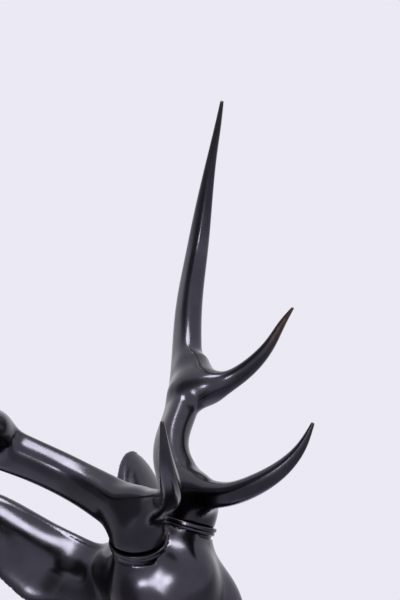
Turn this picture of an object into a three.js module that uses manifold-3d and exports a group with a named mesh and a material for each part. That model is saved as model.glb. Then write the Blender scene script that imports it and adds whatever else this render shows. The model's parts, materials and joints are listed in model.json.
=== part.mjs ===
import * as THREE from 'three';
import { mergeVertices } from 'three/addons/utils/BufferGeometryUtils.js';
import { LoftGeometry } from 'three/addons/geometries/LoftGeometry.js';
import Module from 'manifold-3d';

const wasm = await Module();
wasm.setup();

// A life-size stag's head and neck in cast bronze, cut flat below, with two antlers that
// stand in turned sockets on its crown. Millimetres, +Z up. The stag faces -Y, its left
// side is +X, and the origin is the middle of the flat underside.

// Overall placing
const crownHeight = 400;        // underside to the middle of the two socket rims
const crownForward = 102;       // how far that middle stands in front of the origin
const faceSlope = 40;           // degrees that the forehead falls below level
const skullTop = 16;            // skull surface below the rims, along the middle line

// Sockets that hold the antlers
const socket = {
  spacing: 63.4,                // between the middles of the two rims
  leftAxis: [0.4, 0.06, 0.915], // the way each antler leaves its socket
  rightAxis: [-0.18, -0.16, 0.97],
  rimRadius: 28.5,
  boreRadius: 25.2,
  boreDepth: 4,
  rimHeight: 3.6,
  stepIn: 1.8,
  beadHeight: 4.4,
  skirtHeight: 6,
  stemRadius: 15,               // stem below the skirt, inside the skull
  stemLength: 12,
};
const pedicle = {                // the raised stump under each socket, up to its skirt
  base: [31, 2, 50], baseRadius: 24.5, topRadius: 25.5, topDepth: 14, softness: 18,
};

// Braincase, and the dome of the forehead between the sockets: behind and below the middle
// of the rims, and the radii
const braincase = { behind: 22, below: 54, radii: [53, 60, 44], softness: 22 };
const dome = { behind: -16, below: 48, radii: [38, 44, 47], softness: 16 };
const seatClearance = 2.5;      // open ring round each socket, down to its skirt
const seatGap = 0.3;            // between the antler's foot and the socket floor
const footGroove = 2.2;         // open ring between the antler's foot and the bore
const footRadius = socket.boreRadius - footGroove;
const footDome = 30;            // height of the rounded foot above the rim

// Ears
const ear = {
  rootAside: 46, rootBack: 58, rootBelow: 72,      // from the middle of the socket rims
  length: 180, thickness: 7, rootThickness: 34,
  upper: { half: 40.5, rootHalf: 46, rootReach: 0.5, fall: 20, fallReach: 0.68, roundness: 3 },
  lower: { half: 43, rootHalf: 24, rootReach: 0.32, fall: 9, fallReach: 0, roundness: 3.2 },
  tipFall: 12,
  stem: { length: 34, radius: 24, endRadius: 16, below: 6, softness: 18 },
};
const earAim = new THREE.Vector3(0.4, 0.74, 0.5).normalize();
const earFace = new THREE.Vector3(0.264, -0.696, 0.667);

// Neck sections from the top down: height under the rims, distance behind them, half width
// and half depth
const neckSections = [
  [50, 48, 43, 43],
  [110, 64, 47, 54],
  [170, 82, 53, 64],
  [250, 96, 67, 80],
  [330, 101, 82, 98],
  [400, 102, 93, 113],
];

// Head masses along the face: aside, ahead of the crown, above the forehead line
const eye = { aside: 48, ahead: 66, above: -31, radius: 15.5 };
const nostril = { aside: 15, ahead: 240, above: -35, radii: [7, 9, 5] };

// Left antler: centre lines from the middle of the two rims, with the two half widths of
// the oval section, the wider one turned towards the tines
const beamPath = [
  [37, 2, 12, 17, 17],
  [39, 13, 23, 20, 19],
  [46, 34, 35, 22, 19.5],
  [57, 57, 46, 21.5, 18],
  [74, 78, 59, 21, 17.4],
  [99, 97, 74, 21, 17.5],
  [127, 119, 90, 22, 18],
  [159, 151, 115, 21, 17.5],
  [190, 185, 154, 20, 16],
  [212, 205, 199, 18.5, 15],
  [233, 214, 262, 15.5, 12.6],
  [239, 206, 327, 10.8, 9],
  [235, 186, 389, 6, 5.2],
  [227, 167, 424, 4.1, 3.7],
  [219, 151, 452, 2.2, 2.2],
];
const browTinePath = [
  [38, 10, 21, 20, 14],
  [34, -14, 27, 23, 15],
  [33, -34, 32, 17, 14],
  [35, -54, 38, 13.6, 12],
  [45, -77, 51, 11.2, 10],
  [61, -98, 70.5, 8, 7.6],
  [72, -111, 92, 4.6, 4.4],
  [78, -118, 113, 1.8, 1.8],
];
const upperTinePath = [
  [124, 120, 92, 27, 12],
  [133, 104, 99, 21, 13.5],
  [146, 85, 109, 13, 11.5],
  [164, 62, 126, 9.2, 9],
  [176, 44, 143, 7.6, 7.2],
  [184, 30, 163, 5.8, 5.6],
  [190, 19, 185, 3.9, 3.8],
  [194, 8, 204, 1.6, 1.6],
];
const beamWide = new THREE.Vector3(0, -0.75, 0.66);
const tineWide = new THREE.Vector3(0, 0, 1);

// The right antler is cast from the same pattern and sits turned in its socket
const rightTurnAxis = new THREE.Vector3(-0.775, 0.419, -0.474).normalize();
const rightTurn = 12.6;         // degrees

// Mesh fineness
const fineness = {
  headStep: 12.5, neckStep: 28, socketSides: 20, beamSides: 12, tineSides: 10,
  beamStations: 24, tineStations: 11, earStations: 10, earStrips: 7,
};

const radians = THREE.MathUtils.degToRad;
const crown = new THREE.Vector3(0, -crownForward, crownHeight);
const bronze = { color: 0x17161b, roughness: 0.2, metalness: 1 };

// Solids: a closed geometry becomes a manifold, and back again

function withoutSlivers(geometry) {
  const bare = new THREE.BufferGeometry();
  bare.setAttribute('position', geometry.getAttribute('position').clone());
  bare.setIndex(geometry.index.clone());
  const merged = mergeVertices(bare, 1e-3);
  const kept = [];
  for (let i = 0; i < merged.index.count; i += 3) {
    const corners = [0, 1, 2].map((k) => merged.index.getX(i + k));
    if (new Set(corners).size === 3) kept.push(...corners);
  }
  merged.setIndex(kept);
  return merged;
}

function solidOf(geometry) {
  const merged = withoutSlivers(geometry);
  return new wasm.Manifold(new wasm.Mesh({
    numProp: 3,
    vertProperties: Float32Array.from(merged.getAttribute('position').array),
    triVerts: Uint32Array.from(merged.index.array),
  }));
}

function geometryOf(solid) {
  const mesh = solid.getMesh();
  const geometry = new THREE.BufferGeometry();
  geometry.setAttribute('position', new THREE.BufferAttribute(mesh.vertProperties, 3));
  geometry.setIndex(new THREE.BufferAttribute(mesh.triVerts, 1));
  geometry.computeVertexNormals();
  return geometry;
}

function mirrored(geometry) {
  const copy = withoutSlivers(geometry).scale(-1, 1, 1);
  const index = copy.index.array;
  for (let i = 0; i < index.length; i += 3) {
    [index[i], index[i + 1]] = [index[i + 1], index[i]];
  }
  return copy;
}

const join = (solids) => solids.reduce((all, one) => all.add(one));

// Distance functions for the masses of clay that the head and neck are built up from

function ellipsoid(x, y, z, rx, ry, rz) {
  const near = Math.hypot(x / rx, y / ry, z / rz);
  const slope = Math.hypot(x / rx ** 2, y / ry ** 2, z / rz ** 2);
  return slope < 1e-9 ? -Math.min(rx, ry, rz) : near * (near - 1) / slope;
}

function taper(x, y, z, from, to, fromRadius, toRadius) {
  const run = [to[0] - from[0], to[1] - from[1], to[2] - from[2]];
  const rel = [x - from[0], y - from[1], z - from[2]];
  const along = (rel[0] * run[0] + rel[1] * run[1] + rel[2] * run[2])
    / (run[0] ** 2 + run[1] ** 2 + run[2] ** 2);
  const share = THREE.MathUtils.clamp(along, 0, 1);
  const off = rel.map((value, k) => value - share * run[k]);
  return Math.hypot(...off) - THREE.MathUtils.lerp(fromRadius, toRadius, share);
}

function blend(a, b, softness) {
  const overlap = Math.max(softness - Math.abs(a - b), 0) / softness;
  return Math.min(a, b) - overlap ** 3 * softness / 6;
}

const carve = (a, b, softness) => -blend(-a, b, softness);

// The skull, in the head's own frame: x aside, t ahead of the crown along the face, n above
// the forehead line. The small rounding of |x| keeps the middle line free of a crease.
function skull(x, t, n) {
  const side = Math.hypot(x, 5);
  let d = taper(x, t, n, [0, 40, -43], [0, 150, -45], 46, 33);
  d = blend(d, ellipsoid(side - 36, t - 54, n + 22, 28, 46, 24), 20);
  d = blend(d, taper(x, t, n, [0, 150, -45], [0, 212, -46], 33, 27), 12);
  d = blend(d, taper(side, t, n, [14, 56, -96], [2, 206, -66], 30, 14), 20);
  d = blend(d, ellipsoid(side - 26, t - 58, n + 84, 22, 42, 40), 20);
  d = blend(d, ellipsoid(side - 8, t - 226, n + 42, 23, 21, 21), 12);
  d = blend(d, ellipsoid(x, t - 212, n + 68, 16, 19, 12), 8);
  d = carve(d, ellipsoid(side - 62, t - 82, n + 40, 16, 26, 15), 12);
  return blend(d, ellipsoid(side - eye.aside, t - eye.ahead, n - eye.above, 15, 22, 14), 6);
}

// Centre and half widths of the neck at a depth, on a smooth curve through the sections
function neckAt(depth) {
  const last = neckSections.length - 1;
  const after = neckSections.findIndex((section) => section[0] > depth);
  const k = after < 0 ? last - 1 : Math.max(after - 1, 0);
  const [from, to] = [neckSections[k], neckSections[k + 1]];
  const run = to[0] - from[0];
  const share = THREE.MathUtils.clamp((depth - from[0]) / run, 0, 1);
  const slopeAt = (row, column) => {
    const [low, high] = [neckSections[Math.max(row - 1, 0)], neckSections[Math.min(row + 1, last)]];
    return (high[column] - low[column]) / (high[0] - low[0]);
  };
  return [1, 2, 3].map((column) => {
    const [startSlope, endSlope] = [slopeAt(k, column) * run, slopeAt(k + 1, column) * run];
    const rise = to[column] - from[column];
    const bend = (3 * rise - 2 * startSlope - endSlope) * share ** 2;
    return from[column] + startSlope * share + bend
      + (startSlope + endSlope - 2 * rise) * share ** 3;
  });
}

function neck(x, back, depth) {
  const [centre, halfWidth, halfDepth] = neckAt(depth);
  const round = Math.hypot(x / halfWidth, (back - centre) / halfDepth) - 1;
  const wall = round * Math.min(halfWidth, halfDepth);
  return carve(wall, depth - neckSections[0][0], 50);
}

const socketAxis = (place) => (
  new THREE.Vector3(...(place > 0 ? socket.leftAxis : socket.rightAxis)).normalize());

// A place on a socket's axis, from the middle of the two rims; place is 1 for the left socket
// and -1 for the right one
function onAxis(place, height) {
  const axis = socketAxis(place).multiplyScalar(height);
  return [place * socket.spacing / 2 + axis.x, axis.y, axis.z];
}

function bustField(x, y, z) {
  const back = y - crown.y;
  const depth = crown.z - z;
  const level = z - (crown.z - skullTop);
  const slope = radians(faceSlope);
  const t = -back * Math.cos(slope) - level * Math.sin(slope);
  const n = -back * Math.sin(slope) + level * Math.cos(slope);
  const brain = ellipsoid(x, back - braincase.behind, braincase.below - depth,
    ...braincase.radii);
  let d = blend(skull(x, t, n), brain, braincase.softness);
  d = blend(d, neck(x, back, depth), 34);
  [1, -1].forEach((place) => {
    const { base, baseRadius, topRadius, topDepth, softness } = pedicle;
    const [aside, behind, below] = base;
    const top = onAxis(place, -topDepth);
    const from = [place * aside, behind, -below];
    d = blend(d, taper(x, back, -depth, from, top, baseRadius, topRadius), softness);
  });
  const forehead = ellipsoid(x, back - dome.behind, dome.below - depth, ...dome.radii);
  d = blend(d, forehead, dome.softness);
  const side = Math.hypot(x, 4);
  const { length, radius, endRadius, below, softness } = ear.stem;
  const earRoot = [ear.rootAside, ear.rootBack, -ear.rootBelow - below];
  const earOut = earRoot.map((value, k) => value + length * earAim.getComponent(k));
  return blend(d, taper(side, back, -depth, earRoot, earOut, radius, endRadius), softness);
}

// Surface of a distance function over a box of cells: one corner point in each cell that
// the surface crosses, drawn onto the surface, and one face for each crossed edge.
function polygonise(field, axes) {
  const [xs, ys, zs] = axes;
  const at = (i, j, k) => (k * ys.length + j) * xs.length + i;
  const values = new Float64Array(xs.length * ys.length * zs.length);
  zs.forEach((z, k) => ys.forEach((y, j) => xs.forEach((x, i) => {
    values[at(i, j, k)] = field(x, y, z);
  })));
  const cellPoint = new Map();
  const positions = [];
  const corner = (i, j, k, bits) => [i + (bits & 1), j + ((bits >> 1) & 1), k + (bits >> 2)];

  function pointOf(i, j, k) {
    const sum = new THREE.Vector3();
    let crossings = 0;
    for (let low = 0; low < 8; low += 1) {
      for (const step of [1, 2, 4]) {
        if (low & step) continue;
        const a = corner(i, j, k, low);
        const b = corner(i, j, k, low | step);
        const [va, vb] = [values[at(...a)], values[at(...b)]];
        if ((va < 0) === (vb < 0)) continue;
        const share = va / (va - vb);
        const from = new THREE.Vector3(xs[a[0]], ys[a[1]], zs[a[2]]);
        sum.add(from.lerp(new THREE.Vector3(xs[b[0]], ys[b[1]], zs[b[2]]), share));
        crossings += 1;
      }
    }
    return crossings ? sum.divideScalar(crossings) : null;
  }

  function drawn(point) {
    const delta = 0.5;
    const reach = 4;
    for (let pass = 0; pass < 3; pass += 1) {
      const { x, y, z } = point;
      const value = field(x, y, z);
      const slope = new THREE.Vector3(
        field(x + delta, y, z) - field(x - delta, y, z),
        field(x, y + delta, z) - field(x, y - delta, z),
        field(x, y, z + delta) - field(x, y, z - delta),
      ).divideScalar(2 * delta);
      const steep = Math.max(slope.lengthSq(), 0.2);
      point.addScaledVector(slope, THREE.MathUtils.clamp(-value / steep, -reach, reach));
    }
    return point;
  }

  for (let k = 0; k < zs.length - 1; k += 1) {
    for (let j = 0; j < ys.length - 1; j += 1) {
      for (let i = 0; i < xs.length - 1; i += 1) {
        const point = pointOf(i, j, k);
        if (!point) continue;
        cellPoint.set(at(i, j, k), positions.length / 3);
        positions.push(...drawn(point).toArray());
      }
    }
  }

  const index = [];
  const distance = (a, b) => Math.hypot(
    positions[3 * a] - positions[3 * b],
    positions[3 * a + 1] - positions[3 * b + 1],
    positions[3 * a + 2] - positions[3 * b + 2],
  );
  function face(cells, flipped) {
    const [a, b, c, d] = cells.map((cell) => cellPoint.get(at(...cell)));
    const quad = flipped ? [a, d, c, b] : [a, b, c, d];
    const order = distance(quad[0], quad[2]) < distance(quad[1], quad[3])
      ? [0, 1, 2, 0, 2, 3] : [1, 2, 3, 1, 3, 0];
    index.push(...order.map((corner4) => quad[corner4]));
  }
  for (let k = 1; k < zs.length - 1; k += 1) {
    for (let j = 1; j < ys.length - 1; j += 1) {
      for (let i = 1; i < xs.length - 1; i += 1) {
        const inside = values[at(i, j, k)] < 0;
        if (inside !== values[at(i + 1, j, k)] < 0) {
          face([[i, j - 1, k - 1], [i, j, k - 1], [i, j, k], [i, j - 1, k]], !inside);
        }
        if (inside !== values[at(i, j + 1, k)] < 0) {
          face([[i - 1, j, k - 1], [i - 1, j, k], [i, j, k], [i, j, k - 1]], !inside);
        }
        if (inside !== values[at(i, j, k + 1)] < 0) {
          face([[i - 1, j - 1, k], [i, j - 1, k], [i, j, k], [i - 1, j, k]], !inside);
        }
      }
    }
  }
  const geometry = new THREE.BufferGeometry();
  geometry.setAttribute('position', new THREE.Float32BufferAttribute(positions, 3));
  geometry.setIndex(index);
  return geometry;
}

function steps(from, to, step) {
  const count = Math.ceil((to - from) / step);
  return Array.from({ length: count + 1 }, (_, k) => from + (to - from) * k / count);
}

// Head and neck, cut flat below
function headAndNeck() {
  const { headStep, neckStep } = fineness;
  const sideReach = neckSections.at(-1)[2] + 3 * headStep;
  const xs = steps(-sideReach - headStep / 2, sideReach + headStep / 2, headStep);
  const ys = steps(crown.y - 200, crown.y + neckSections.at(-1)[1] + 150, headStep);
  const chin = crown.z - 245;
  const below = -3 * neckStep;
  const zs = [...steps(below, chin, neckStep), ...steps(chin, crown.z + 40, headStep).slice(1)];
  const clay = polygonise((x, y, z) => Math.max(bustField(x, y, z), below / 2 - z), [xs, ys, zs]);
  const block = new THREE.BoxGeometry(4 * sideReach, 4 * sideReach, -2 * below);
  return solidOf(clay).subtract(solidOf(block.translate(0, 0, below)));
}

// A thing built along +Z at the origin is stood on a socket's axis, its zero height at the rim
function onSocket(geometry, place) {
  const up = new THREE.Vector3(0, 0, 1);
  geometry.applyQuaternion(new THREE.Quaternion().setFromUnitVectors(up, socketAxis(place)));
  return geometry.translate(...rimOf(place).toArray());
}

function rimOf(place) {
  return new THREE.Vector3(place * socket.spacing / 2, 0, 0).add(crown);
}

function turned(profile) {
  const points = profile.map(([r, h]) => new THREE.Vector2(r, h));
  return new THREE.LatheGeometry(points, fineness.socketSides).rotateX(Math.PI / 2);
}

function socketRing(place) {
  const { rimRadius, boreRadius, boreDepth, rimHeight, stepIn, beadHeight } = socket;
  const { skirtHeight, stemRadius, stemLength } = socket;
  const beadLow = -rimHeight - beadHeight;
  const skirtLow = beadLow - skirtHeight;
  const inner = rimRadius - stepIn;
  return onSocket(turned([
    [0, skirtLow - stemLength],
    [stemRadius, skirtLow - stemLength],
    [inner - 1.6, skirtLow],
    [inner - 0.9, beadLow],
    [inner + 0.8, beadLow + beadHeight / 2],
    [inner, -rimHeight],
    [rimRadius, -rimHeight + 0.8],
    [rimRadius, -0.8],
    [rimRadius - 0.8, 0],
    [boreRadius, 0],
    [boreRadius, -boreDepth],
    [0, -boreDepth],
  ]), place);
}

// An ear is a leaf that bulges towards its front: sections across it run from its root to
// its blunt tip, wider below its middle line than above
function leftEar() {
  const { earStations, earStrips } = fineness;
  const aim = earAim;
  const across = new THREE.Vector3().crossVectors(earFace, aim).normalize();
  const face = new THREE.Vector3().crossVectors(aim, across).normalize();
  const root = new THREE.Vector3(ear.rootAside, ear.rootBack, -ear.rootBelow).add(crown);
  const sections = [];
  for (let station = 0; station <= earStations; station += 1) {
    const s = (station / earStations) ** 0.9 * 0.995;
    const body = THREE.MathUtils.smoothstep(s, 0, 0.3);
    const thick = THREE.MathUtils.lerp(ear.rootThickness, ear.thickness, body);
    const middle = root.clone().addScaledVector(aim, s * ear.length);
    const pointAt = (u, way) => {
      const side = u > 0 ? ear.upper : ear.lower;
      const closing = Math.sqrt(1 - s ** side.roundness);
      const share = Math.abs(u) * closing;
      const opening = THREE.MathUtils.smoothstep(s, 0, side.rootReach);
      const half = THREE.MathUtils.lerp(side.rootHalf, side.half, opening);
      const solid = Math.sqrt(Math.max(1 - (share ** 2 + s ** side.roundness) ** 3, 0));
      const fall = side.fallReach ? side.fall * THREE.MathUtils.smoothstep(s, 0, side.fallReach)
        : side.fall;
      const lift = -fall * share ** 2 - ear.tipFall * s ** 3 + way * thick / 2 * solid;
      const aside = Math.sign(u) * half * share;
      return middle.clone().addScaledVector(across, aside).addScaledVector(face, lift);
    };
    const section = [];
    for (let strip = 0; strip < earStrips; strip += 1) {
      section.push(pointAt(Math.sin((strip / earStrips - 0.5) * Math.PI), -1));
    }
    for (let strip = 0; strip < earStrips; strip += 1) {
      section.push(pointAt(Math.sin((0.5 - strip / earStrips) * Math.PI), 1));
    }
    sections.push(section);
  }
  return new LoftGeometry(sections, { closed: true, capStart: true, capEnd: true });
}

function headPoint(aside, ahead, above) {
  const slope = radians(faceSlope);
  return new THREE.Vector3(
    aside,
    crown.y - ahead * Math.cos(slope) - above * Math.sin(slope),
    crown.z - skullTop - ahead * Math.sin(slope) + above * Math.cos(slope),
  );
}

function ball(aside, ahead, above, radii) {
  const geometry = new THREE.SphereGeometry(1, 12, 8).scale(...radii);
  geometry.rotateX(radians(faceSlope));
  return geometry.translate(...headPoint(aside, ahead, above).toArray());
}

function bust() {
  const rings = [socketRing(1), socketRing(-1)];
  const ears = [leftEar(), mirrored(leftEar())];
  const eyes = [-1, 1].map((side) => ball(side * eye.aside, eye.ahead, eye.above,
    [eye.radius, eye.radius, eye.radius]));
  const nostrils = [-1, 1].map((side) => ball(side * nostril.aside, nostril.ahead,
    nostril.above, nostril.radii));
  const bores = [seatCut(1), seatCut(-1)];
  let solid = headAndNeck();
  bores.forEach((bore) => { solid = solid.subtract(solidOf(bore)); });
  solid = join([solid, ...[...rings, ...ears, ...eyes].map(solidOf)]);
  return solid.subtract(join(nostrils.map(solidOf)));
}

// Clears the skull away where the socket stands on it
function seatCut(place) {
  const { rimHeight, beadHeight, skirtHeight, rimRadius } = socket;
  const low = -rimHeight - beadHeight - skirtHeight / 2;
  const radius = rimRadius + seatClearance;
  const outline = [[0, low], [radius, low], [radius, footDome], [0, footDome]];
  return onSocket(turned(outline), place);
}

// A branch is a loft of oval sections along a smooth curve
function branch(path, sides, stations, wideTowards) {
  const points = path.map(([x, y, z]) => new THREE.Vector3(x, y, z).add(crown));
  const curve = new THREE.CatmullRomCurve3(points, false, 'centripetal');
  const last = path.length - 1;
  const sections = [];
  for (let station = 0; station <= stations; station += 1) {
    const share = station / stations;
    const t = share * last;
    const k = Math.min(Math.floor(t), last - 1);
    const halfWidths = [3, 4].map((column) => (
      THREE.MathUtils.lerp(path[k][column], path[k + 1][column], t - k)));
    const centre = curve.getPoint(share);
    const along = curve.getTangent(share);
    const wide = wideTowards.clone().addScaledVector(along, -wideTowards.dot(along)).normalize();
    const thin = new THREE.Vector3().crossVectors(along, wide);
    sections.push(Array.from({ length: sides }, (_, side) => {
      const angle = side / sides * 2 * Math.PI;
      return centre.clone()
        .addScaledVector(wide, halfWidths[0] * Math.cos(angle))
        .addScaledVector(thin, halfWidths[1] * Math.sin(angle));
    }));
  }
  return new LoftGeometry(sections, { closed: true, capStart: true, capEnd: true });
}

// The rounded foot of an antler, seated in the socket
function foot(place) {
  const floor = -socket.boreDepth + seatGap;
  const dome = steps(0, Math.PI / 2, Math.PI / 12).map((angle) => (
    [footRadius * Math.cos(angle), footDome * Math.sin(angle)]));
  dome[dome.length - 1][0] = 0;
  const outline = [[0, floor], [footRadius - 1, floor], [footRadius, floor + 1], ...dome];
  return onSocket(turned(outline), place);
}

// Keeps the branches clear of the socket's rim
function rimClearance(place) {
  const reach = socket.rimRadius + 30;
  return onSocket(turned([
    [footRadius, -reach],
    [reach, -reach],
    [reach, seatGap],
    [footRadius, seatGap],
    [footRadius, -reach],
  ]), place);
}

function antler(place, turn) {
  const { beamSides, tineSides, beamStations, tineStations } = fineness;
  const branches = [
    branch(beamPath, beamSides, beamStations, beamWide),
    branch(browTinePath, tineSides, tineStations, tineWide),
    branch(upperTinePath, tineSides, tineStations, tineWide),
  ];
  const rim = rimOf(place);
  const placed = branches.map((geometry) => {
    const sided = place < 0 ? mirrored(geometry) : geometry;
    const swing = new THREE.Quaternion().setFromAxisAngle(rightTurnAxis, radians(turn));
    sided.translate(-rim.x, -rim.y, -rim.z).applyQuaternion(swing);
    return sided.translate(rim.x, rim.y, rim.z);
  });
  const branched = join(placed.map(solidOf)).subtract(solidOf(rimClearance(place)));
  return branched.add(solidOf(foot(place)));
}

const object = new THREE.Group();

function add(name, solid) {
  const mesh = new THREE.Mesh(geometryOf(solid), new THREE.MeshStandardMaterial(bronze));
  mesh.name = name;
  object.add(mesh);
}

add('head_and_neck', bust());
add('antler_left', antler(1, 0));
add('antler_right', antler(-1, rightTurn));

export default object;
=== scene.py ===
"""A life-size stag's head and neck in black-patinated cast bronze, with two antlers that stand
in turned sockets on its crown.

The forms are worked out in millimetres from the middle of the two socket rims: +X is the
stag's left, -Y is ahead of it and +Z is up. Each form is a distance function, and its skin
is drawn from the function at the end, in metres and in the frame's own axes.
"""
import json
import math

import bpy
import numpy as np
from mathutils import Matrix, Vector


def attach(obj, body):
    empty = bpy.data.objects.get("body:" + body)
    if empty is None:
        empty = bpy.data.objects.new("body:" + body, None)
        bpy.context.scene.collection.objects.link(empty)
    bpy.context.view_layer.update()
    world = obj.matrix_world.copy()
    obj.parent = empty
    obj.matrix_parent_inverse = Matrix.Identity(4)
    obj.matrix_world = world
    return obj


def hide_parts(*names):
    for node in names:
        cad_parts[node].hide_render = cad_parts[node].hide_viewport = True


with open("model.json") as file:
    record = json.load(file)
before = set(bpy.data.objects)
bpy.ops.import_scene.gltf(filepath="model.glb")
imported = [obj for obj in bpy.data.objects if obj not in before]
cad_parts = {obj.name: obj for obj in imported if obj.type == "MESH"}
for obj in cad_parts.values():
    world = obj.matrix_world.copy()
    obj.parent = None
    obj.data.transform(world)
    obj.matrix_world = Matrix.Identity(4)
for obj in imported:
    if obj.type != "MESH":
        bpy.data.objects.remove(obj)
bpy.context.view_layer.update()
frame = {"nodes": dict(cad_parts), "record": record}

MM = 0.001

# Overall placing
CROWN_HEIGHT = 400.0        # underside to the middle of the two socket rims
CROWN = np.array([0.0, -102.0, CROWN_HEIGHT])
FACE_SLOPE = math.radians(40.0)
SKULL_TOP = 16.0            # start of the forehead line, below the rims

# Sockets
SOCKET_SPACING = 63.4
LEFT_SOCKET_AXIS = np.array([0.4, 0.06, 0.915])
RIGHT_SOCKET_AXIS = np.array([-0.18, -0.16, 0.97])
RIM_RADIUS = 28.5
BORE_RADIUS = 25.2
BORE_DEPTH = 4.0
RIM_HEIGHT = 3.6
LIP = 0.8                   # radius of the rim's rounded edges
STEP_IN = 1.8
BEAD_HEIGHT = 4.4
BEAD_ARC = 70.0             # degrees of the bead above and below its middle
BEAD_BELOW, BEAD_ABOVE = 0.4, 0.5       # from the bead's ends to the skirt and to the rim
SKIRT_IN, BEAD_IN, GROOVE_IN = 1.6, 1.3, 0.9
SKIRT_HEIGHT = 6.0
STEM_RADIUS = 15.0
STEM_LENGTH = 12.0
SOCKET_SIDES = 96
SEAT_INSET = 1.0            # the seat in the head stays this far inside the rim's radius
SEAT_GAP = 0.3

# Foot of each antler, and its clearance over the rim
FOOT_RADIUS = 24.4
FOOT_DOME = 34.0
FOOT_SOFTNESS = 24.0
FOOT_EDGE, RIM_CLEARANCE, RIM_SOFTNESS = 0.3, 0.8, 1.5

# The swelling under each socket, from its base up to the skirt
PEDICLE_BASE = (31.0, 2.0, -50.0)
PEDICLE_BASE_RADIUS, PEDICLE_TOP_RADIUS, PEDICLE_TOP_DEPTH = 24.5, 25.5, 14.0
PEDICLE_SOFTNESS = 26.0

# Braincase, and the dome of the forehead between the sockets: behind and above the middle
# of the rims, and the radii
BRAINCASE_AT, BRAINCASE_RADII = (22.0, -54.0), (53.0, 60.0, 44.0)
BRAINCASE_SOFTNESS = 22.0
DOME_AT, DOME_RADII = (-16.0, -48.0), (38.0, 44.0, 47.0)
DOME_SOFTNESS = 28.0

# Skull, measured aside, ahead along the face and above the forehead line. A tapering part has
# its two ends and their radii, and a rounded one its middle and radii.
FACE = (0.0, 40.0, -43.0), (0.0, 150.0, -45.0), 46.0, 33.0
MUZZLE = (0.0, 150.0, -45.0), (0.0, 212.0, -46.0), 33.0, 27.0
JAW = (14.0, 56.0, -96.0), (2.0, 206.0, -66.0), 30.0, 14.0
BROW = (36.0, 54.0, -22.0), (28.0, 46.0, 24.0)
CHEEK = (26.0, 58.0, -84.0), (22.0, 42.0, 40.0)
NOSE = (8.0, 226.0, -42.0), (23.0, 21.0, 21.0)
CHIN = (0.0, 212.0, -68.0), (16.0, 19.0, 12.0)
HOLLOW = (62.0, 82.0, -40.0), (16.0, 26.0, 15.0)       # in front of each eye
WIDE_JOIN, JOIN, TIGHT_JOIN = 20.0, 12.0, 8.0
SKULL_ROUNDING, HEAD_ROUNDING = 5.0, 4.0    # how softly the two sides meet in the middle

# Eyes: the ball, the swelling of the lids round it, the slit and the upper lid's rim
EYE = np.array([48.0, 66.0, -31.0])
EYE_RADIUS, EYE_INSET, EYE_SOFTNESS = 15.5, 1.5, 0.8
LIDS_RADII, LIDS_SOFTNESS = (15.0, 22.0, 14.0), 6.0
SLIT_AT, SLIT_RADII, SLIT_SOFTNESS = (9.0, -1.0, 0.0), (14.0, 15.5, 9.5), 2.5
LID_RISE, LID_SPAN, LID_RADIUS, LID_SOFTNESS = 9.2, 17.0, 1.7, 3.0
LID_END, LID_FADE, LID_INNER = 19.0, 9.0, -6.0

# Nostrils, and the line of the mouth
NOSTRIL, NOSTRIL_RADII = (15.0, 240.0, -35.0), (7.0, 9.0, 5.0)
NOSTRIL_SOFTNESS = 2.5
MOUTH_START, MOUTH_END, MOUTH_MIDDLE, MOUTH_CORNER = 150.0, 250.0, 200.0, 15.0
MOUTH_LEVEL, MOUTH_SLOPE, MOUTH_WAVE, MOUTH_WAVE_LENGTH = -62.0, 0.06, 3.0, 24.0
MOUTH_RADIUS, MOUTH_DEEPER, MOUTH_SOFTNESS = 1.5, 0.35, 3.0
NOWHERE = 30.0, 50.0        # distances that stand for no mouth and no lid

# Ears
EAR_ROOT = np.array([46.0, 58.0, -72.0])
EAR_AIM = np.array([0.4, 0.74, 0.5])
EAR_FACE = np.array([0.264, -0.696, 0.667])
EAR_LENGTH = 180.0
EAR_UPPER, EAR_UPPER_ROOT = 40.5, 46.0      # half widths above and below the middle line
EAR_LOWER, EAR_LOWER_ROOT = 43.0, 24.0
EAR_UPPER_REACH, EAR_LOWER_REACH = 0.5, 0.32    # shares of the length until these widths
EAR_UPPER_ROUND, EAR_LOWER_ROUND, EAR_ROOT_ROUND = 3.0, 3.2, 22.0
EAR_UPPER_FALL, EAR_LOWER_FALL, EAR_TIP_FALL = 20.0, 9.0, 12.0
EAR_FALL_REACH = 0.68       # share of the length over which the upper half's fall grows
EAR_FALL_LIMIT = 1.3        # in half widths from the middle line
EAR_THICKNESS, EAR_ROOT_THICKNESS, EAR_THICK_REACH = 7.0, 26.0, 0.3
EAR_EDGE_POWER = 6          # how full the ear stays towards its edge
EAR_STEM_RADIUS, EAR_STEM_END, EAR_STEM_LENGTH, EAR_STEM_LOW = 19.0, 12.0, 34.0, 10.0
EAR_STEM_SOFTNESS, EAR_SOFTNESS = 26.0, 24.0

# Front of the ear: its raised upper margin, the trough along that margin and a crease lower
# down. Pairs are shares of the length between which a form starts, slants or ends.
MARGIN_HEIGHT, MARGIN_FULL, MARGIN_WIDTH = 2.2, 4.0, 12.0
TROUGH_AT, TROUGH_WIDTH, TROUGH_DEPTH = 20.0, 8.5, 8.0
TROUGH_START, TROUGH_END = (0.0, 0.12), (0.4, 0.66)
CREASE_AT, CREASE_CLIMB, CREASE_WIDTH, CREASE_DEPTH = -22.0, 8.0, 2.4, 2.2
CREASE_START, CREASE_SLANT, CREASE_END = (0.14, 0.24), (0.2, 0.6), (0.42, 0.5)

# Neck sections from the top down: depth, distance behind the rims, half width, half depth
NECK_SECTIONS = np.array([
    [50, 48, 43, 43],
    [110, 64, 47, 54],
    [170, 82, 53, 64],
    [250, 96, 67, 80],
    [330, 101, 82, 98],
    [400, 102, 93, 113],
], float)

NECK_TOP_SOFTNESS, NECK_SOFTNESS = 50.0, 34.0

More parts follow.
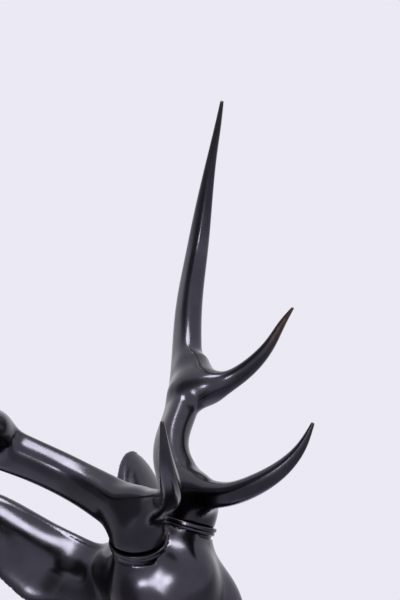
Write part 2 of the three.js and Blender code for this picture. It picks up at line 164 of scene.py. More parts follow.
# Left antler: centre lines with the two half widths of the oval section
BEAM_PATH = [
    (37, 2, 12, 17, 17), (39, 13, 23, 20, 19), (46, 34, 35, 20.8, 19), (57, 57, 46, 20, 17.6),
    (74, 78, 59, 19.8, 17), (99, 97, 74, 20.3, 17), (127, 119, 90, 22, 18),
    (159, 151, 115, 21, 17.5), (190, 185, 154, 20, 16), (212, 205, 199, 18.5, 15),
    (233, 214, 262, 15.5, 12.6), (239, 206, 327, 10.8, 9), (235, 186, 389, 6, 5.2),
    (227, 167, 424, 4.1, 3.7), (219, 151, 452, 2.2, 2.2),
]
BROW_TINE_PATH = [
    (38, 10, 21, 14, 13), (34, -14, 29, 17, 14), (33, -34, 35.5, 13.2, 12.6),
    (35, -54, 41.3, 10.9, 10.8), (45, -77, 53.2, 9.7, 9.4), (61, -98, 71.9, 7.4, 7.2),
    (72, -111, 92.8, 4.5, 4.4),
    (78, -118, 113, 1.8, 1.8),
]
UPPER_TINE_PATH = [
    (124, 120, 96, 12, 10), (133, 104, 103, 14, 13), (146, 85, 109, 13.2, 12),
    (164, 62, 124.4, 10.6, 10), (175.3, 44.6, 142.8, 8.6, 8.4), (183, 31, 163, 6.3, 6.2),
    (189.2, 20, 185, 4.1, 4.1), (193.5, 8.4, 203, 1.6, 1.6),
]
BEAM_WIDE = np.array([0.0, -0.75, 0.66])
TINE_WIDE = np.array([0.0, 0.0, 1.0])
RIGHT_TURN_AXIS = np.array([-0.775, 0.419, -0.474])
RIGHT_TURN = math.radians(12.6)
MIRROR = np.array([-1, 1, 1])

# Webs where the tines leave the beam: centre, reach and softness of the join
BROW_WEB = (np.array([40.0, -4.0, 42.0]), 40.0, 50.0)
UPPER_WEB = (np.array([152.0, 106.0, 128.0]), 50.0, 66.0)
ANTLER_SOFTNESS = 9.0

# Gusset in the fork of the beam: its two ends, their radii and the softness of its join
GUSSET = ((166.0, 138.0, 124.0), (143.0, 92.0, 106.0), 14.0, 13.0, 30.0)

# Sections of the branches: 2 would make them elliptical
SECTION_POWER = 2.8
LEAST_HALF_WIDTH = 0.8

# Skins: cell sizes, and how far the grids reach
HEAD_CELL = 2.1
NECK_CELL = 3.6
NECK_BELOW = 240.0          # coarser cells below this depth under the rims
ANTLER_CELL = 1.35
HEAD_ASIDE, HEAD_AHEAD, HEAD_BEHIND = 143.0, 175.0, 227.0
HEAD_ABOVE, HEAD_BELOW = 30.0, 407.0
ANTLER_MARGIN = 32.0        # round the centre lines


# Distance functions. Points are rows of x, y, z.

def ellipsoid(x, y, z, rx, ry, rz):
    near = np.sqrt((x / rx) ** 2 + (y / ry) ** 2 + (z / rz) ** 2)
    slope = np.sqrt((x / rx ** 2) ** 2 + (y / ry ** 2) ** 2 + (z / rz ** 2) ** 2)
    return near * (near - 1) / np.maximum(slope, 1e-6)


def taper(x, y, z, start, end, start_radius, end_radius):
    run = [e - s for s, e in zip(start, end)]
    rel = [x - start[0], y - start[1], z - start[2]]
    along = sum(r * d for r, d in zip(rel, run)) / sum(d * d for d in run)
    share = np.clip(along, 0, 1)
    off = sum((r - share * d) ** 2 for r, d in zip(rel, run))
    return np.sqrt(off) - (start_radius + (end_radius - start_radius) * share)


def blend(a, b, softness):
    overlap = np.maximum(softness - np.abs(a - b), 0) / softness
    return np.minimum(a, b) - overlap ** 3 * softness / 6


def carve(a, b, softness):
    return -blend(-a, b, softness)


def flattened(x, y, z, rx, ry, rz, power):
    """An oval body whose sides are flatter, and its corners tighter, than an ellipse's."""
    ax, ay, az = np.abs(x) / rx, np.abs(y) / ry, np.abs(z) / rz
    near = np.maximum(ax ** power + ay ** power + az ** power, 1e-9) ** (1 / power)
    steep = np.sqrt((ax ** (power - 1) / rx) ** 2 + (ay ** (power - 1) / ry) ** 2
                    + (az ** (power - 1) / rz) ** 2) / near ** (power - 1)
    return (near - 1) / np.maximum(steep, 1e-3)


def smoothstep(value, low, high):
    share = np.clip((value - low) / (high - low), 0, 1)
    return share * share * (3 - 2 * share)


def unit(vector):
    return vector / np.linalg.norm(vector, axis=-1, keepdims=True)


# The skull: x aside, t ahead of the crown along the face, n above the forehead line

def rounded(x, t, n, middle, radii):
    return ellipsoid(x - middle[0], t - middle[1], n - middle[2], *radii)


def skull(x, t, n):
    side = np.hypot(x, SKULL_ROUNDING)
    d = taper(x, t, n, *FACE)
    d = blend(d, rounded(side, t, n, *BROW), WIDE_JOIN)
    d = blend(d, taper(x, t, n, *MUZZLE), JOIN)
    d = blend(d, taper(side, t, n, *JAW), WIDE_JOIN)
    d = blend(d, rounded(side, t, n, *CHEEK), WIDE_JOIN)
    d = blend(d, rounded(side, t, n, *NOSE), JOIN)
    d = blend(d, rounded(x, t, n, *CHIN), TIGHT_JOIN)
    d = carve(d, rounded(side, t, n, *HOLLOW), JOIN)
    d = blend(d, rounded(side, t, n, EYE, LIDS_RADII), LIDS_SOFTNESS)
    return face_details(d, x, t, n)


def face_details(d, x, t, n):
    """Eyes with their lids, nostrils, and the line of the mouth."""
    aside = np.abs(x)
    no_mouth, no_lid = NOWHERE
    across, ahead, above = aside - EYE[0], t - EYE[1], n - EYE[2]
    d = carve(d, rounded(across, ahead, above, SLIT_AT, SLIT_RADII), SLIT_SOFTNESS)
    ball = np.sqrt((across + EYE_INSET) ** 2 + ahead ** 2 + above ** 2) - EYE_RADIUS
    d = blend(d, ball, EYE_SOFTNESS)
    lid_arc = above - LID_RISE * np.sqrt(np.maximum(1 - (ahead / LID_SPAN) ** 2, 0))
    lid_radius = LID_RADIUS * smoothstep(LID_END - np.abs(ahead), 0, LID_FADE)
    lid = np.hypot(lid_arc, d) - lid_radius
    d = blend(d, np.where(across > LID_INNER, lid, no_lid), LID_SOFTNESS)
    d = carve(d, rounded(aside, t, n, NOSTRIL, NOSTRIL_RADII), NOSTRIL_SOFTNESS)
    wave = MOUTH_WAVE * np.sin((t - MOUTH_START) / MOUTH_WAVE_LENGTH)
    mouth_line = MOUTH_LEVEL + MOUTH_SLOPE * (t - MOUTH_MIDDLE) + wave
    groove = np.hypot(n - mouth_line, np.minimum(d, 0) * MOUTH_DEEPER) - MOUTH_RADIUS
    mouth = np.where((t > MOUTH_START) & (t < MOUTH_END), groove, no_mouth)
    corner = smoothstep(MOUTH_START + MOUTH_CORNER - t, 0, MOUTH_CORNER)
    return carve(d, mouth + MOUTH_SOFTNESS * corner, MOUTH_SOFTNESS)


def neck_at(depth):
    """Centre and half widths of the neck at a depth, on a smooth curve through the sections."""
    depths = NECK_SECTIONS[:, 0]
    last = len(depths) - 1
    k = np.clip(np.searchsorted(depths, depth, side="right") - 1, 0, last - 1)
    run = depths[k + 1] - depths[k]
    share = np.clip((depth - depths[k]) / run, 0, 1)
    low = np.maximum(np.arange(last + 1) - 1, 0)
    high = np.minimum(np.arange(last + 1) + 1, last)
    out = []
    for column in (1, 2, 3):
        values = NECK_SECTIONS[:, column]
        slopes = (values[high] - values[low]) / (depths[high] - depths[low])
        start, end = slopes[k] * run, slopes[k + 1] * run
        rise = values[k + 1] - values[k]
        bend = (3 * rise - 2 * start - end) * share ** 2
        out.append(values[k] + start * share + bend + (start + end - 2 * rise) * share ** 3)
    return out


def neck(x, back, depth):
    centre, half_width, half_depth = neck_at(depth)
    around = np.sqrt((x / half_width) ** 2 + ((back - centre) / half_depth) ** 2) - 1
    wall = around * np.minimum(half_width, half_depth)
    return carve(wall, depth - NECK_SECTIONS[0, 0], NECK_TOP_SOFTNESS)


# Ears: a leaf that bulges towards its front and is thick at its root

def ear_axes():
    aim = unit(EAR_AIM)
    across = unit(np.cross(EAR_FACE, aim))
    return aim, across, np.cross(aim, across)


def ear(side, back, up):
    aim, across, face = ear_axes()
    rel = (side - EAR_ROOT[0], back - EAR_ROOT[1], up - EAR_ROOT[2])
    s = sum(r * a for r, a in zip(rel, aim)) / EAR_LENGTH
    w = sum(r * a for r, a in zip(rel, across))
    h = sum(r * a for r, a in zip(rel, face))
    inside = np.clip(s, 0, 1)
    at_root = 1 - smoothstep(inside, 0, EAR_UPPER_REACH)
    upper_half = EAR_UPPER + (EAR_UPPER_ROOT - EAR_UPPER) * at_root
    at_root = 1 - smoothstep(inside, 0, EAR_LOWER_REACH)
    lower_half = EAR_LOWER + (EAR_LOWER_ROOT - EAR_LOWER) * at_root
    upper = w > 0
    half = np.where(upper, upper_half, lower_half)
    u = np.abs(w) / half
    ahead = np.maximum(s, 0)
    end = np.where(upper, ahead ** EAR_UPPER_ROUND, ahead ** EAR_LOWER_ROUND)
    root = np.maximum(-s, 0) * EAR_LENGTH / EAR_ROOT_ROUND
    rho = np.sqrt(u ** 2 + end + root ** 2)
    body = smoothstep(inside, 0, EAR_THICK_REACH)
    thick = EAR_ROOT_THICKNESS + (EAR_THICKNESS - EAR_ROOT_THICKNESS) * body
    upper_fall = EAR_UPPER_FALL * smoothstep(inside, 0, EAR_FALL_REACH)
    fall = np.where(upper, upper_fall, EAR_LOWER_FALL)
    centre = -fall * np.minimum(u, EAR_FALL_LIMIT) ** 2 - EAR_TIP_FALL * inside ** 3
    rise = ear_relief(inside, w, upper_half)
    b = (h - centre - rise / 2) / (thick / 2 + np.abs(rise) / 2)
    near = np.sqrt(rho ** EAR_EDGE_POWER + b ** 2)
    outward = EAR_EDGE_POWER / 2 * rho ** (EAR_EDGE_POWER - 1) / half
    slope = np.sqrt(outward ** 2 + (b / (thick / 2)) ** 2) / np.maximum(near, 1e-6)
    return (near - 1) / np.maximum(slope, 0.02)


def ear_relief(s, w, upper_half):
    """How far the ear's front stands out: a raised upper margin over a long trough, and a
    crease lower down."""
    edge = upper_half * np.sqrt(np.maximum(1 - s ** EAR_UPPER_ROUND, 0.01)) - w
    margin = MARGIN_HEIGHT * (1 - smoothstep(edge, MARGIN_FULL, MARGIN_WIDTH))
    trough = TROUGH_DEPTH * np.exp(-((w - TROUGH_AT) / TROUGH_WIDTH) ** 2)
    trough = trough * smoothstep(s, *TROUGH_START) * (1 - smoothstep(s, *TROUGH_END))
    crease_at = CREASE_AT + CREASE_CLIMB * smoothstep(s, *CREASE_SLANT)
    crease = CREASE_DEPTH * np.exp(-((w - crease_at) / CREASE_WIDTH) ** 2)
    crease = crease * smoothstep(s, *CREASE_START) * (1 - smoothstep(s, *CREASE_END))
    return margin - trough - crease


# Head and neck together

def rim_of(place):
    """Middle of a socket's rim. place is 1 for the left socket and -1 for the right one."""
    return np.array([place * SOCKET_SPACING / 2, 0, 0])


def socket_axis(place):
    return unit(LEFT_SOCKET_AXIS if place > 0 else RIGHT_SOCKET_AXIS)


def on_socket(points, place):
    """Distance from a socket's axis, and height over its rim."""
    rel = points - rim_of(place)
    height = rel @ socket_axis(place)
    return np.sqrt(np.maximum((rel ** 2).sum(1) - height ** 2, 0)), height


def bust_field(points):
    x, back, up = points[:, 0], points[:, 1], points[:, 2]
    level = up + SKULL_TOP
    t = -back * math.cos(FACE_SLOPE) - level * math.sin(FACE_SLOPE)
    n = -back * math.sin(FACE_SLOPE) + level * math.cos(FACE_SLOPE)
    brain = ellipsoid(x, back - BRAINCASE_AT[0], up - BRAINCASE_AT[1], *BRAINCASE_RADII)
    d = blend(skull(x, t, n), brain, BRAINCASE_SOFTNESS)
    d = blend(d, neck(x, back, -up), NECK_SOFTNESS)
    for place in (1, -1):
        top = rim_of(place) - PEDICLE_TOP_DEPTH * socket_axis(place)
        base = np.array(PEDICLE_BASE) * [place, 1, 1]
        stem = taper(x, back, up, base, top, PEDICLE_BASE_RADIUS, PEDICLE_TOP_RADIUS)
        d = blend(d, stem, PEDICLE_SOFTNESS)
    dome = ellipsoid(x, back - DOME_AT[0], up - DOME_AT[1], *DOME_RADII)
    d = blend(d, dome, DOME_SOFTNESS)
    side = np.hypot(x, HEAD_ROUNDING)
    root = EAR_ROOT - [0, 0, EAR_STEM_LOW]
    out = root + EAR_STEM_LENGTH * unit(EAR_AIM)
    stem = taper(side, back, up, root, out, EAR_STEM_RADIUS, EAR_STEM_END)
    d = blend(d, stem, EAR_STEM_SOFTNESS)
    d = blend(d, ear(np.abs(x), back, up), EAR_SOFTNESS)
    floor = -RIM_HEIGHT - BEAD_HEIGHT - SKIRT_HEIGHT / 2
    for place in (1, -1):
        radius, height = on_socket(points, place)
        seat = np.maximum(radius - RIM_RADIUS + SEAT_INSET, floor - height)
        seat = np.maximum(seat, height - FOOT_DOME)
        d = np.maximum(d, -seat)
    return np.maximum(d, -CROWN_HEIGHT - up)


# Antlers

def spline(knots, values, at):
    """Natural cubic spline through the values."""
    count = len(knots)
    gap = np.diff(knots)
    matrix = np.eye(count)
    right = np.zeros((count, values.shape[1]))
    for k in range(1, count - 1):
        matrix[k, k - 1:k + 2] = gap[k - 1], 2 * (gap[k - 1] + gap[k]), gap[k]
        right[k] = 6 * ((values[k + 1] - values[k]) / gap[k]
                        - (values[k] - values[k - 1]) / gap[k - 1])
    bend = np.linalg.solve(matrix, right)
    k = np.clip(np.searchsorted(knots, at, side="right") - 1, 0, count - 2)
    step = gap[k][:, None]
    a = (knots[k + 1] - at)[:, None] / step
    b = 1 - a
    curve = ((a ** 3 - a) * bend[k] + (b ** 3 - b) * bend[k + 1]) * step ** 2 / 6
    return a * values[k] + b * values[k + 1] + curve


class Branch:
    """Oval sections along a smooth centre line, sampled evenly."""

    def __init__(self, path, wide_towards, spacing=2.5):
        path = np.array(path, float)
        chord = np.r_[0, np.cumsum(np.linalg.norm(np.diff(path[:, :3], axis=0), axis=1))]
        fine = spline(chord, path, np.linspace(0, chord[-1], 1500))
        length = np.r_[0, np.cumsum(np.linalg.norm(np.diff(fine[:, :3], axis=0), axis=1))]
        count = int(length[-1] / spacing) + 1
        self.step = length[-1] / (count - 1)
        even = np.linspace(0, length[-1], count)
        rows = np.stack([np.interp(even, length, fine[:, k]) for k in range(5)], 1)
        self.centre, self.half = rows[:, :3], rows[:, 3:]
        self.along = unit(np.gradient(self.centre, self.step, axis=0))
        self.bend = np.gradient(self.along, self.step, axis=0)
        wide = wide_towards - (self.along @ wide_towards)[:, None] * self.along
        self.wide = unit(wide)
        self.thin = np.cross(self.along, self.wide)
        self.wide_change = np.gradient(self.wide, self.step, axis=0)
        self.thin_change = np.gradient(self.thin, self.step, axis=0)
        self.half_change = np.gradient(self.half, self.step, axis=0)

    def nearest(self, points):
        far = points.astype(np.float32) @ self.centre.T.astype(np.float32) * -2
        far += (self.centre ** 2).sum(1).astype(np.float32)
        return far.argmin(1)

    def section(self, points):
        """Offsets of the points from the centre line: along wide, along thin, past the end."""
        k = self.nearest(points)
        rel = points - self.centre[k]
        ahead = (rel * self.along[k]).sum(1)
        s = ahead / np.maximum(1 - (rel * self.bend[k]).sum(1), 0.4)
        low = np.where(k == 0, 0, -self.step)
        high = np.where(k == len(self.centre) - 1, 0, self.step)
        s = np.clip(s, low, high)
        column = s[:, None]
        centre = self.centre[k] + column * self.along[k] + column ** 2 / 2 * self.bend[k]
        off = points - centre
        along = self.along[k] + column * self.bend[k]
        half = self.half[k] + column * self.half_change[k]
        wide = (off * (self.wide[k] + column * self.wide_change[k])).sum(1)
        thin = (off * (self.thin[k] + column * self.thin_change[k])).sum(1)
        return k * self.step + s, wide, thin, (off * along).sum(1), half

    def field(self, points):
        _, wide, thin, past, half = self.section(points)
        rw, rt = np.maximum(half, LEAST_HALF_WIDTH).T
        return flattened(wide, thin, past, rw, rt, rt, SECTION_POWER)


BEAM = Branch(BEAM_PATH, BEAM_WIDE)
BROW_TINE = Branch(BROW_TINE_PATH, TINE_WIDE)
UPPER_TINE = Branch(UPPER_TINE_PATH, TINE_WIDE)


def web(points, where):
    middle, reach, softness = where
    away = ((points - middle) ** 2).sum(1) / reach ** 2
    return ANTLER_SOFTNESS + (softness - ANTLER_SOFTNESS) * np.exp(-away)


def spin(points, angle):
    """Points turned about the middle of the right socket's rim."""
    rim = rim_of(-1)
    axis = unit(RIGHT_TURN_AXIS)
    rel = points - rim
    spun = rel * math.cos(angle) + np.cross(axis, rel) * math.sin(angle)
    return spun + axis * (rel @ axis)[:, None] * (1 - math.cos(angle)) + rim


def turn_back(points):
    """Right antler to left: undoes its turn about the rim, then mirrors it."""
    return spin(points, -RIGHT_TURN) * MIRROR


def antler_field(points, place):
    """place is 1 for the left antler and -1 for the right one."""
    branches = points if place > 0 else turn_back(points)
    d = blend(BEAM.field(branches), BROW_TINE.field(branches), web(branches, BROW_WEB))
    d = blend(d, UPPER_TINE.field(branches), web(branches, UPPER_WEB))
    start, end, start_radius, end_radius, softness = GUSSET
    d = blend(d, taper(*branches.T, start, end, start_radius, end_radius), softness)
    radius, height = on_socket(points, place)
    dome = ellipsoid(radius, 0, np.maximum(height, 0), FOOT_RADIUS, FOOT_RADIUS, FOOT_DOME)
    d = blend(d, dome, FOOT_SOFTNESS)
    d = np.maximum(d, -BORE_DEPTH + SEAT_GAP - height)
    over_rim = np.maximum(FOOT_RADIUS + FOOT_EDGE - radius, height - SEAT_GAP - RIM_CLEARANCE)
    return carve(d, over_rim, RIM_SOFTNESS)


# Skins: one point in each cell that the surface crosses, drawn onto the surface

def steps(low, high, step):
    return np.linspace(low, high, int(math.ceil((high - low) / step)) + 1)


def in_chunks(field, points, size=120000):
    return np.concatenate([field(points[k:k + size]) for k in range(0, len(points), size)])


def sample_grid(field, axes, stride=5):
    """Values on the grid, worked out only in the blocks that the surface may cross."""
    coarse = [np.r_[np.arange(0, len(a) - 1, stride), len(a) - 1] for a in axes]
    places = np.stack(np.meshgrid(*[a[c] for a, c in zip(axes, coarse)], indexing="ij"), -1)
    values = in_chunks(field, places.reshape(-1, 3)).reshape(places.shape[:3])
    widest = [np.diff(a[c]).max() for a, c in zip(axes, coarse)]
    reach = math.hypot(*widest)
    near = np.abs(values) < reach
    live = np.zeros([len(c) - 1 for c in coarse], bool)
    for i in (0, 1):
        for j in (0, 1):
            for k in (0, 1):
                live |= near[i:near.shape[0] - 1 + i, j:near.shape[1] - 1 + j,
                             k:near.shape[2] - 1 + k]
    block = [np.minimum(np.arange(len(a)) // stride, len(c) - 2) for a, c in zip(axes, coarse)]
    before = [np.maximum((np.arange(len(a)) - 1) // stride, 0) for a in axes]
    before = [np.minimum(b, len(c) - 2) for b, c in zip(before, coarse)]
    wanted = np.zeros([len(a) for a in axes], bool)
    for i in (block[0], before[0]):
        for j in (block[1], before[1]):
            for k in (block[2], before[2]):
                wanted |= live[np.ix_(i, j, k)]
    grid = np.where(values < 0, -1e3, 1e3)[np.ix_(*block)]
    spots = np.argwhere(wanted)
    points = np.stack([axes[c][spots[:, c]] for c in range(3)], 1)
    grid[tuple(spots.T)] = in_chunks(field, points)
    return grid


def slope_of(field, points, delta=0.35):
    corners = np.array([[1, -1, -1], [-1, -1, 1], [-1, 1, -1], [1, 1, 1]], float)
    total = np.zeros_like(points)
    for corner in corners:
        total += corner * in_chunks(field, points + corner * delta)[:, None]
    return total / (4 * delta)


def draw_on(field, points, passes, reach):
    for _ in range(passes):
        value = in_chunks(field, points)
        slope = slope_of(field, points)
        steep = np.maximum((slope ** 2).sum(1), 0.2)
        points = points + slope * np.clip(-value / steep, -reach, reach)[:, None]
    return points


def neighbour_mean(points, quads):
    total = np.zeros_like(points)
    count = np.zeros(len(points))
    for a, b in ((0, 1), (1, 2), (2, 3), (3, 0)):
        for i, j in ((a, b), (b, a)):
            np.add.at(total, quads[:, i], points[quads[:, j]])
            np.add.at(count, quads[:, i], 1)
    return total / np.maximum(count, 1)[:, None]


def skin(field, axes, cell):
    """Points and quads of the surface, in millimetres from the middle of the rims."""
    grid = sample_grid(field, axes)
    inside = grid < 0
    corner = [(i, j, k) for k in (0, 1) for j in (0, 1) for i in (0, 1)]
    shape = [len(a) - 1 for a in axes]
    total = np.zeros(shape, np.int8)
    for i, j, k in corner:
        total += inside[i:i + shape[0], j:j + shape[1], k:k + shape[2]]
    cells = np.argwhere((total > 0) & (total < 8))
    number = np.full(shape, -1, np.int64)
    number[tuple(cells.T)] = np.arange(len(cells))
    summed = np.zeros((len(cells), 3))
    crossings = np.zeros(len(cells))
    for low in corner:
        for axis in range(3):
            if low[axis]:
                continue
            high = tuple(c + (k == axis) for k, c in enumerate(low))
            a, b = cells + low, cells + high
            va, vb = grid[tuple(a.T)], grid[tuple(b.T)]
            crossed = (va < 0) != (vb < 0)
            share = np.where(crossed, va / np.where(crossed, va - vb, 1), 0)
            share = np.clip(share, 0.02, 0.98)
            start = np.stack([axes[c][a[:, c]] for c in range(3)], 1)
            end = np.stack([axes[c][b[:, c]] for c in range(3)], 1)
            summed += np.where(crossed[:, None], start + (end - start) * share[:, None], 0)
            crossings += crossed
    points = summed / crossings[:, None]
    quads = []
    for axis in range(3):
        one, two = [(1, 2), (2, 0), (0, 1)][axis]
        part = [slice(None)] * 3
        rest = [slice(None)] * 3
        part[axis], rest[axis] = slice(0, -1), slice(1, None)
        edges = np.argwhere(inside[tuple(part)] != inside[tuple(rest)])
        starts_inside = inside[tuple(edges.T)]
        moves = []
        for d1, d2 in ((-1, -1), (0, -1), (0, 0), (-1, 0)):
            shift = np.zeros(3, int)
            shift[one], shift[two] = d1, d2
            moves.append(number[tuple((edges + shift).T)])
        ring = np.stack(moves, 1)
        ring[~starts_inside] = ring[~starts_inside][:, ::-1]
        quads.append(ring)
    quads = np.concatenate(quads)
    points = draw_on(field, points, 3, cell)
    for _ in range(2):
        points = points + 0.5 * (neighbour_mean(points, quads) - points)
        points = draw_on(field, points, 1, cell)
    return points, quads


def in_scene(name, data):
    obj = bpy.data.objects.new(name, data)
    bpy.context.scene.collection.objects.link(obj)
    return obj


def mesh_object(name, points, faces, smooth=True):
    mesh = bpy.data.meshes.new(name)
    mesh.from_pydata(((points + CROWN) * MM).tolist(), [], faces)
    mesh.update()
    if smooth:
        mesh.shade_smooth()
    return in_scene(name, mesh)


# Sockets: a turned profile, radius and height over the rim

def arc(centre, radius, start, end, count):
    angles = np.radians(np.linspace(start, end, count))
    return [(centre[0] + radius * math.cos(a), centre[1] + radius * math.sin(a)) for a in angles]


def socket_profile():
    inner = RIM_RADIUS - STEP_IN
    bead_low = -RIM_HEIGHT - BEAD_HEIGHT
    skirt_low = bead_low - SKIRT_HEIGHT
    bead = BEAD_HEIGHT / 2
    skirt = inner - SKIRT_IN
    profile = [(0.0, skirt_low - STEM_LENGTH), (STEM_RADIUS, skirt_low - STEM_LENGTH)]
    profile += [(skirt, skirt_low), (skirt, bead_low - BEAD_BELOW)]
    profile += arc((inner - BEAD_IN, bead_low + bead), bead, -BEAD_ARC, BEAD_ARC, 9)
    profile += [(inner - GROOVE_IN, -RIM_HEIGHT - BEAD_ABOVE)]
    profile += arc((RIM_RADIUS - LIP, -RIM_HEIGHT + LIP), LIP, -90, 0, 5)
    profile += arc((RIM_RADIUS - LIP, -LIP), LIP, 0, 90, 5)
    profile += arc((BORE_RADIUS + LIP, -LIP), LIP, 90, 180, 5)
    profile += [(BORE_RADIUS, -BORE_DEPTH), (0.0, -BORE_DEPTH)]
    return profile


def turned(profile, sides, place):
    """A profile turned about the socket's axis, as a closed mesh."""
    rows = [p for p in profile if p[0] > 1e-6]
    angles = np.linspace(0, 2 * math.pi, sides, endpoint=False)
    points = [(0, 0, profile[0][1])]
    points += [(r * math.cos(a), r * math.sin(a), h) for r, h in rows for a in angles]
    points += [(0, 0, profile[-1][1])]
    faces = []
    for k in range(sides):
        after = (k + 1) % sides
        faces.append((0, 1 + after, 1 + k))
        for row in range(len(rows) - 1):
            a, b = 1 + row * sides, 1 + (row + 1) * sides
            faces.append((a + k, a + after, b + after, b + k))
        top = 1 + (len(rows) - 1) * sides
        faces.append((top + k, top + after, len(points) - 1))
    axis = socket_axis(place)
    ahead = unit(np.cross(axis, [1.0, 0, 0]))
    aside = np.cross(ahead, axis)
    points = np.array(points) @ np.stack([aside, ahead, axis])
    return points + rim_of(place), faces


def join_solid(target, tool):
    """Makes one closed solid of two, and removes the second object."""
    modifier = target.modifiers.new("join", "BOOLEAN")
    modifier.operation = "UNION"
    modifier.solver = "MANIFOLD"
    modifier.object = tool
    ready = bpy.context.evaluated_depsgraph_get()
    joined = bpy.data.meshes.new_from_object(target.evaluated_get(ready))
    target.modifiers.clear()
    old = target.data
    target.data = joined
    bpy.data.meshes.remove(old)
    bpy.data.objects.remove(tool)


def bust():
    xs = steps(-HEAD_ASIDE, HEAD_ASIDE, HEAD_CELL)
    ys = steps(-HEAD_AHEAD, HEAD_BEHIND, HEAD_CELL)
    zs = np.r_[steps(-HEAD_BELOW, -NECK_BELOW, NECK_CELL)[:-1],
               steps(-NECK_BELOW, HEAD_ABOVE, HEAD_CELL)]
    points, quads = skin(bust_field, (xs, ys, zs), HEAD_CELL)
    points[:, 2] = np.maximum(points[:, 2], -CROWN_HEIGHT)
    obj = mesh_object("head_and_neck_cast", points, quads.tolist())
    for place in (1, -1):
        ring, faces = turned(socket_profile(), SOCKET_SIDES, place)
        join_solid(obj, mesh_object("socket", ring, faces, smooth=False))
    return obj


def antler(place):
    """place is 1 for the left antler and -1 for the right one."""
    name = "antler_left_cast" if place > 0 else "antler_right_cast"
    stations = np.concatenate([b.centre for b in (BEAM, BROW_TINE, UPPER_TINE)])
    if place < 0:
        stations = spin(stations * MIRROR, RIGHT_TURN)
    low, high = stations.min(0) - ANTLER_MARGIN, stations.max(0) + ANTLER_MARGIN
    axes = [steps(a, b, ANTLER_CELL) for a, b in zip(low, high)]
    points, quads = skin(lambda p: antler_field(p, place), axes, ANTLER_CELL)
    return mesh_object(name, points, quads.tolist())


# Finish: black patina, polished and waxed, worn brown at tips and rims. Ramps have places and
# shades or values, and noises their scale, detail and roughness.

PATINA_NOISE, PATINA_SHADES = (34, 6, 0.6), ((0.3, 0.82), (0.55, 1.0), (0.75, 1.22))
BROWN_NOISE = (220, 4, 0.5)
BROWN_RAMP = ((0.35, (0.05, 0.03, 0.022)), (0.7, (0.12, 0.066, 0.042)))
PATCH_NOISE, PATCH_GAIN = (160, 5, 0.62), 1.6
ROUGH_NOISE, ROUGH_RAMP = (70, 7, 0.65), ((0.3, (0.17,) * 3), (0.7, (0.24,) * 3))
WORN_ROUGHER = 0.2
BUMP_NOISE, BUMP_STRENGTH, BUMP_DISTANCE = (300, 5, 0.55), 0.06, 0.0006

# Wear: how far back from each branch's tip it reaches, and the most of it. It is full from
# TIP_END before the tip, and only where the branch's own distance is under BRANCH_SKIN.
TIP_WEAR = ((BEAM, 50, 0.15), (BROW_TINE, 26, 0.15), (UPPER_TINE, 70, 0.6))
TIP_END, BRANCH_SKIN = 2.0, 2.5
RIM_WEAR = 0.15


def colour_attribute(obj, name, values):
    layer = obj.data.attributes.new(name, "FLOAT", "POINT")
    layer.data.foreach_set("value", np.ascontiguousarray(values, np.float32))


def vertex_array(obj):
    co = np.zeros(len(obj.data.vertices) * 3, np.float32)
    obj.data.vertices.foreach_get("co", co)
    return co.reshape(-1, 3) / MM - CROWN


def bronze(name, slot_colour):
    material = bpy.data.materials.new(name)
    material.use_nodes = True
    nodes, links = material.node_tree.nodes, material.node_tree.links
    shader = nodes["Principled BSDF"]
    shader.inputs["Metallic"].default_value = 1.0
    place = nodes.new("ShaderNodeTexCoord")

    def noise(scale, detail, rough):
        node = nodes.new("ShaderNodeTexNoise")
        node.inputs["Scale"].default_value = scale
        node.inputs["Detail"].default_value = detail
        node.inputs["Roughness"].default_value = rough
        links.new(place.outputs["Object"], node.inputs["Vector"])
        return node.outputs["Fac"]

    def ramp(source, stops):
        node = nodes.new("ShaderNodeValToRGB")
        node.color_ramp.elements[0].position = stops[0][0]
        node.color_ramp.elements[0].color = (*stops[0][1], 1)
        node.color_ramp.elements[1].position = stops[-1][0]
        node.color_ramp.elements[1].color = (*stops[-1][1], 1)
        for position, colour in stops[1:-1]:
            node.color_ramp.elements.new(position).color = (*colour, 1)
        links.new(source, node.inputs["Fac"])
        return node.outputs["Color"]

    def maths(kind, a, b):
        node = nodes.new("ShaderNodeMath")
        node.operation = kind
        node.use_clamp = True
        for socket, value in zip(node.inputs, (a, b)):
            if isinstance(value, (int, float)):
                socket.default_value = value
            else:
                links.new(value, socket)
        return node.outputs[0]

    wear = nodes.new("ShaderNodeAttribute")
    wear.attribute_name = "wear"
    patch = maths("MULTIPLY", noise(*PATCH_NOISE), PATCH_GAIN)
    worn = maths("MULTIPLY", wear.outputs["Fac"], patch)
    shades = [(at, tuple(c * shade for c in slot_colour)) for at, shade in PATINA_SHADES]
    patina = ramp(noise(*PATINA_NOISE), shades)
    brown = ramp(noise(*BROWN_NOISE), BROWN_RAMP)
    mix = nodes.new("ShaderNodeMix")
    mix.data_type = "RGBA"
    links.new(worn, mix.inputs["Factor"])
    links.new(patina, mix.inputs["A"])
    links.new(brown, mix.inputs["B"])
    links.new(mix.outputs["Result"], shader.inputs["Base Color"])
    rough = ramp(noise(*ROUGH_NOISE), ROUGH_RAMP)
    rough_worn = maths("MULTIPLY", worn, WORN_ROUGHER)
    links.new(maths("ADD", rough, rough_worn), shader.inputs["Roughness"])
    bump = nodes.new("ShaderNodeBump")
    bump.inputs["Strength"].default_value = BUMP_STRENGTH
    bump.inputs["Distance"].default_value = BUMP_DISTANCE
    links.new(noise(*BUMP_NOISE), bump.inputs["Height"])
    links.new(bump.outputs["Normal"], shader.inputs["Normal"])
    return material


